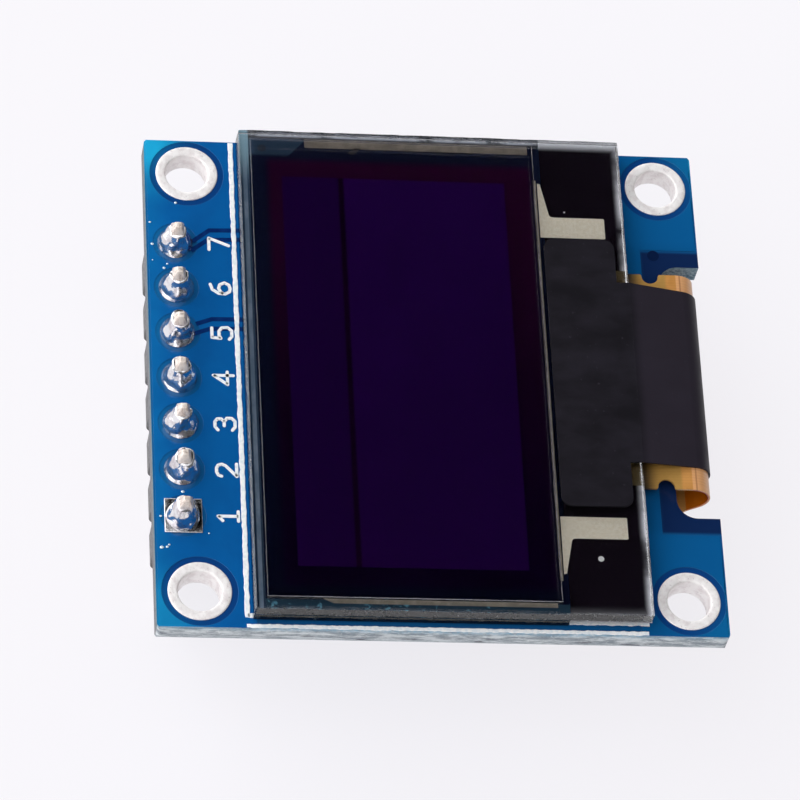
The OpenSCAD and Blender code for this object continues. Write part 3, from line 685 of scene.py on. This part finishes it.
MARK_LOW, MARK_HIGH = 0.6505, 0.6525
for side, label in ((1, "top"), (-1, "bottom")):
    outline = [(7.85, -5.66), (10.98, -5.66), (10.95, -5.8), (9.16, -6.16), (9.06, -6.24)]
    outline += [(9.03, -6.4), (9.03, -8.9), (8.98, -8.95), (7.89, -8.95), (7.85, -8.9)]
    mirrored = [(PANEL_X + side * x, y) for x, y in outline]
    flat(f"corner_mark_{label}", [mirrored], MARK_LOW, MARK_HIGH, champagne, "pin_metal")
bus_top = [(12.83, 6.05), (13.2, 6.05), (13.2, -5.25), (12.8, -5.25), (12.8, 5.95)]
flat("bus_line_top", [bus_top], LINE_LOW, LINE_HIGH, tan, "pin_metal")
bus_bottom = [(-12.32, 6.2), (-12.6, 5.6), (-12.6, -5.25), (-12.34, -5.25)]
flat("bus_line_bottom", [bus_bottom], LINE_LOW, LINE_HIGH, tan, "pin_metal")
bus_ledge = [(X0 + 2.0, -5.44), (X1 - 2.2, -5.44), (X1 - 2.2, -5.6), (X0 + 2.0, -5.6)]
flat("bus_line_ledge", [bus_ledge], MARK_LOW, MARK_HIGH, tan, "pin_metal")
bus_step = [(12.55, 3.9), (12.85, 3.55), (12.85, 3.2), (12.45, 3.6)]
flat("bus_step", [bus_step], LINE_LOW, LINE_HIGH, dull, "pin_metal")
white_dot = Finish("white_dot", {"Base Color": paint("#f4f2f0")})
white_dot.set({"Roughness": white_dot.mottle(5.0) * 0.2 + 0.4})
flat("ledge_dot", [circle(-9.91, -7.53, 0.15, 24)], MARK_LOW, MARK_HIGH, white_dot, "pin_metal")
flat("ledge_speck", [circle(9.55, -6.95, 0.05, 12)], MARK_LOW, MARK_HIGH, white_dot, "pin_metal")
dark_mark = Finish("register_mark", {"Roughness": 0.5})
dark_mark.set({"Base Color": dark_mark.mix(dark_mark.mottle(5.0), paint("#10141c"), paint("#1c222c"))})
REGISTER_X, REGISTER_Y, ARM = 12.7, 8.2, 0.12
ring = [circle(REGISTER_X, REGISTER_Y, r, 32) for r in (0.19, 0.13)]
flat("register_ring", ring, LINE_LOW, LINE_HIGH, dark_mark, "pin_metal")
bm = bmesh.new()
stroke(bm, [(REGISTER_X - ARM, REGISTER_Y), (REGISTER_X + ARM, REGISTER_Y)], 0.022, LINE_LOW, LINE_HIGH)
stroke(bm, [(REGISTER_X, REGISTER_Y - ARM), (REGISTER_X, REGISTER_Y + ARM)], 0.022, LINE_LOW, LINE_HIGH)
piece("register_cross", bm, dark_mark, "pin_metal")

# The ledge past the rear glass: bare driver chip and black lacquer under it
lacquer = Finish("ledge_lacquer", {"Specular IOR Level": 0.0, "Roughness": 0.35})
# The lacquer is painted pale along the ledge's outer edges, streaky on the ribbon side: painted reflection
# of the bright room in the glass over it
edge_reflection_x = lacquer.rise(lacquer.x, X1 - 0.5, X1 + 0.02) ** 1.2
edge_reflection_y = (1 - lacquer.rise(lacquer.y, Y0 - 0.02, Y0 + 0.42)) ** 1.2
edge_reflection_low = (1 - lacquer.rise(lacquer.x, X0 - 0.1, X0 + 0.9)) ** 2.0 * 0.35
streak = lacquer.rise(lacquer.mottle(0.5, 3.0, (1.0, 0.5, 1.0)), 0.3, 0.6)
ledge_reflection = edge_reflection_x.most(edge_reflection_y * streak).most(edge_reflection_low)
lacquer.set({"Base Color": lacquer.mix(ledge_reflection.least(1.0), paint("#18121a"), paint("#e8e8ee"))})
dress(lacquer, "ledge_lacquer")
silicon = Finish("chip_silicon", {"Roughness": 0.25, "Metallic": 0.6})
silicon.set({"Base Color": silicon.mix(silicon.mottle(3.0), paint("#23252c"), paint("#3a3d46"))})
dress(silicon, "driver_chip")

# ---------------------------------------------------------------- Front glass and film
# The front glass is scribed and snapped, so its arrises carry small chips. The
# film is cut a little smaller and rolled on, and covers all but the ledge.

GLASS_LOW, GLASS_TOP, FILM_TOP = 0.654, 1.35, 1.55
AIR = 0.002  # keeps two glass faces out of one plane
FILM = (-12.6, 13.0, -5.4, 8.85)

CLEAR = {"Transmission Weight": 1.0, "IOR": 1.5}
glass = Finish("front_glass", {**CLEAR, "Base Color": paint("#fcfdfe"), "Roughness": 0.0})
near_rim = glass.rise(abs(glass.x - PANEL_X), 13.26, 13.34)
near_rim = near_rim.most(glass.rise(abs(glass.y + 0.23), 9.55, 9.62))
glass.set({"Roughness": near_rim * glass.rise(glass.mottle(3.0, 4.0), 0.4, 0.7) * 0.35})
glass.bump(near_rim * glass.mottle(2.5, 4.0), 0.06, 0.5)


def slab(low, high, cuts, rim, chip, seed):
    """A sheet between two corners whose rim is cut into short lengths and chipped."""
    bm = bmesh.new()
    bmesh.ops.create_cube(bm, size=1.0)
    size = Vector(high) - Vector(low)
    bmesh.ops.scale(bm, vec=size, verts=bm.verts)
    bmesh.ops.translate(bm, vec=(Vector(high) + Vector(low)) / 2, verts=bm.verts)
    for axis, count in ((0, cuts[0]), (1, cuts[1])):
        for i in range(1, count):
            at = Vector(low)
            at[axis] += size[axis] * i / count
            normal = Vector((axis == 0, axis == 1, 0))
            near = bm.verts[:] + bm.edges[:] + bm.faces[:]
            bmesh.ops.bisect_plane(bm, geom=near, plane_co=at, plane_no=normal, dist=1e-6)
    soften(bm, rim, 1)
    for v in bm.verts:
        edge = [min(v.co[i] - low[i], high[i] - v.co[i]) for i in range(2)]
        if min(edge) < rim * 1.6 and (v.co.z > high[2] - rim * 1.2):
            bite = max(0.0, noise.noise(v.co * 1.9 + Vector((seed, 0, 0))) + 0.1) * chip
            for i in range(2):
                if edge[i] < rim * 1.6:
                    v.co[i] += bite if v.co[i] < (low[i] + high[i]) / 2 else -bite
            if v.co.z < high[2] - 1e-4:
                v.co.z -= bite
    return bm


bm = slab((X0, Y0, GLASS_LOW), (X1, Y1, GLASS_TOP - AIR), (80, 60), 0.04, 0.035, 3.0)
piece("front_glass_sheet", bm, glass, "front_glass", "front_glass", smooth=25)

film = Finish("polarising_film", {**CLEAR, "Base Color": paint("#f6f3f7"), "Roughness": 0.02})
film.bump(film.mottle(0.25, 2.0), 0.01, 0.4)
bm = slab((FILM[0], FILM[2], GLASS_TOP + AIR), (FILM[1], FILM[3], FILM_TOP), (40, 30), 0.03, 0.012, 8.0)
piece("film_sheet", bm, film, "polarising_film", "polarising_film", smooth=25)

# ---------------------------------------------------------------- Folded ribbon
# A polyimide ribbon with copper lines, bonded under the ledge, folded through the
# notch and soldered to a row of pads on the back by its widened tail. Two half
# round cuts in the neck line it up when it is bonded.

FOLD_Y, FOLD_Z = -12.42, -0.38
ribbon = Finish("polyimide_ribbon", {"IOR": 1.6, "Specular IOR Level": 0.5, "Roughness": 0.3})
from_fold = ((ribbon.y - FOLD_Y) ** 2.0 + (ribbon.z - FOLD_Z) ** 2.0) ** 0.5
beyond = 1 - ribbon.rise(ribbon.y, FOLD_Y - 0.03, FOLD_Y + 0.03)
outer = ribbon.rise(from_fold, 0.955, 0.99)
inner_face = beyond * (1 - outer)
upper = ribbon.rise(ribbon.z, 0.4, 0.45)
over_board = upper * ribbon.rise(ribbon.y, -12.0, -11.8)
glass_edge_shadow = upper * ribbon.rise(ribbon.y, -10.9, -9.9)
amber = ribbon.mix(ribbon.rise(ribbon.mottle(0.9), 0.3, 0.7), paint("#b9803e"), paint("#cd924e"))
amber = ribbon.mix(beyond, amber, paint("#dba06a"))
amber = ribbon.mix(over_board * 0.5, amber, paint("#8c7a3a"))
# Painted shadow on the ribbon next to the glass's edge, under the tape
amber = ribbon.mix(glass_edge_shadow, amber, paint("#1c170f"))
amber = ribbon.mix(upper * ribbon.rise(ribbon.y, -9.95, -9.8), amber, paint("#5a4a28"))
# Painted shade along the crease where the ribbon bends into its fold
crease_shade = ribbon.within(ribbon.y, -12.66, -12.58, 0.03) * upper
amber = ribbon.mix(crease_shade * 0.6, amber, paint("#8a5524"))
LINE_PITCH = 0.31
across = ribbon.x.calc("PINGPONG", ribbon.x, LINE_PITCH / 2)
fine = ribbon.within(across, 0.05, 0.11, 0.02)
amber = ribbon.mix(fine * ribbon.within(ribbon.x, -5.6, 6.0, 0.05) * 0.12, amber, paint("#8e5a26"))
deep = ribbon.mix(ribbon.rise(ribbon.z, -1.2, 0.3), paint("#c26400"), paint("#9a2400"))
ribbon.set({"Base Color": ribbon.mix(inner_face, amber, deep)})
ribbon.bump(ribbon.mottle(0.8) + fine * 0.2, 0.02, 0.5)
dress(ribbon, "flex_ribbon")
dress(solder, "ribbon_joints")

# ---------------------------------------------------------------- Black tape
# Light-tight polyester tape, die cut to a T: the head covers chip and bond on the
# ledge, the stem spans down over the ribbon and wraps its fold.

tape = Finish("black_tape", {"Specular IOR Level": 0.16, "IOR": 1.45})
weave = tape.mottle(0.7, 5.0, (1.0, 0.5, 1.0))
dust = tape.rise(tape.mottle(5.0, 5.0), 0.66, 0.74)
stem = 1 - tape.rise(tape.y, -10.4, -9.7)
black_face = tape.mix(tape.rise(weave, 0.3, 0.75), paint("#100e14"), paint("#1a1720"))
# The stem is painted lighter than the head: a painted sheen where its slope catches the light
black_face = tape.mix(stem * 0.6, black_face, paint("#2e2833"))
black_face = tape.mix(dust * 0.2, black_face, paint("#4a4550"))
tape.set({"Base Color": black_face, "Roughness": tape.rise(weave, 0.3, 0.7) * 0.15 + 0.42})
tape.bump(weave + tape.mottle(9.0, 3.0) * 0.12, 0.05, 0.5)
dress(tape, "black_tape")

# ---------------------------------------------------------------- Parts on the back
# Chip capacitors and resistors, a regulator and a diode are placed on paste and
# soldered in an oven. The bodies are fired ceramic or moulded epoxy, the ends tin.


def two_ended(name, row_y, body, top, top_from):
    """Ceramic body between two tinned ends, for a row of parts that lie along Y."""
    f = Finish(name, {"IOR": 1.5})
    off = abs(f.y - row_y)
    end = f.rise(off, 0.475, 0.485)
    colour = f.mix(f.rise(f.z * -1.0, top_from, top_from + 0.02), paint(body), paint(top))
    colour = f.mix(f.rise(f.mottle(6.0), 0.62, 0.75) * 0.3, colour, paint("#f0e8dc"))
    f.set({"Base Color": f.mix(end, colour, paint("#dcdcdc"))})
    f.set({"Metallic": end, "Roughness": 0.55 - end * 0.25})
    f.bump(f.mottle(7.0, 3.0), 0.02, 0.4)
    return f


ceramic = two_ended("capacitor_ceramic", -3.6, "#b08a5e", "#b08a5e", 9.0)
bead = two_ended("resistor_ceramic", 7.6, "#e6e4de", "#17171a", 1.65)
for count, kind, f in ((8, "capacitor", ceramic), (7, "resistor", bead)):
    for number in range(1, count + 1):
        bm = solid_of(f"{kind}_{number}")
        soften(bm, 0.02, 1, 50)
        piece(f"{kind}_part_{number}", bm, f, f"{kind}_ceramic", f"{kind}_{number}", smooth=30)

epoxy = Finish("moulded_epoxy", {"Specular IOR Level": 0.4})
epoxy.set({"Base Color": epoxy.mix(epoxy.mottle(6.0, 4.0), paint("#151517"), paint("#2a2a2d"))})
epoxy.set({"Roughness": epoxy.mottle(9.0) * 0.2 + 0.45})
epoxy.bump(epoxy.mottle(14.0, 3.0), 0.02, 0.6)
for name in ("regulator", "diode"):
    bm = solid_of(f"{name}_body")
    soften(bm, 0.05)
    piece(f"{name}_case", bm, epoxy, "moulding", f"{name}_body")
dress(pin_metal, "regulator_legs", "diode_legs")
dress(solder, "part_solder")

# ---------------------------------------------------------------- Studio
# The module stands on its pins on a pale sweep of paper. Soft light comes from
# the header side and the far end, and the room behind the camera is dark.

LOW = cad_low.z
FLOOR_R = 3.0
OWN_WHITE = 0.8  # the rest of the paper shows the shadow
bm = bmesh.new()
bmesh.ops.create_circle(bm, cap_ends=True, segments=64, radius=FLOOR_R)
bmesh.ops.translate(bm, vec=(0, 0, LOW - 0.00002), verts=bm.verts)
mesh = bpy.data.meshes.new("floor")
bm.to_mesh(mesh)
bm.free()
floor = bpy.data.objects.new("floor", mesh)
bpy.context.scene.collection.objects.link(floor)
paper = Finish("paper_sweep", {"Roughness": 0.9, "Specular IOR Level": 0.1})
paper.set({"Base Color": paper.cloudy("#f3f1f4", "#f1f1f6", 0.02)})
seen = paper.node("ShaderNodeLightPath", output="Is Camera Ray")
seen = seen.most(paper.node("ShaderNodeLightPath", output="Is Glossy Ray"))
seen = seen.most(paper.node("ShaderNodeLightPath", output="Is Transmission Ray"))
white = paper.node("ShaderNodeEmission", values={"Color": paint("#fbf9fd"), "Strength": 1.0})
lit_paper = Wire(paper, paper.shader.outputs[0])
both = paper.node("ShaderNodeMixShader", values={0: seen * OWN_WHITE, 1: lit_paper, 2: white})
paper.put(next(n for n in paper.tree.nodes if n.type == "OUTPUT_MATERIAL").inputs["Surface"], both)
mesh.materials.append(paper.material)

MIRROR = (0.4808, -0.1455, 0.8647)
BRIGHT = (0.35, 0.85, 0.5)
world = bpy.data.worlds.new("studio")
bpy.context.scene.world = world
world.use_nodes = True


class Room(Finish):
    """The world's nodes, added as a material's are."""

    def __init__(self, tree):
        self.tree = tree


room = Room(world.node_tree)
look = room.node("ShaderNodeTexCoord", output="Generated")


def towards(way):
    unit = Vector(way).normalized()
    return room.node("ShaderNodeVectorMath", {"operation": "DOT_PRODUCT"}, {0: look, 1: tuple(unit)}, 1)


level = room.rise(towards(BRIGHT), -0.3, 0.6) * 1.6 + 0.15
level = level * (1 - room.rise(towards(MIRROR), 0.86, 0.97))
backdrop = next(n for n in world.node_tree.nodes if n.type == "BACKGROUND")
backdrop.inputs["Color"].default_value = (0.97, 0.98, 1.0, 1.0)
room.put(backdrop.inputs["Strength"], level)

key_data = bpy.data.lights.new("window", "AREA")
key_data.shape, key_data.size, key_data.energy = "DISK", 0.3, 0.3
key = bpy.data.objects.new("window", key_data)
key.location = Vector((0.5, 0.62, 0.6)).normalized() * 0.5
key.rotation_euler = (-key.location).to_track_quat("-Z", "Y").to_euler()
bpy.context.scene.collection.objects.link(key)

lens = bpy.data.cameras.new("camera")
lens.lens, lens.sensor_width = 232.124, 36.0
lens.clip_start, lens.clip_end = 0.01, 20.0
camera = bpy.data.objects.new("camera", lens)
RIGHT, UP, BACK = (-0.04741, -0.98900, 0.14008), (0.87556, 0.02636, 0.48239), (-0.48078, 0.14552, 0.86468)
turned = Matrix((RIGHT, UP, BACK)).transposed().to_4x4()
camera.matrix_world = Matrix.Translation((-0.122435, 0.038507, 0.218537)) @ turned
bpy.context.scene.collection.objects.link(camera)
bpy.context.scene.camera = camera
bpy.context.scene.view_settings.view_transform = "Standard"
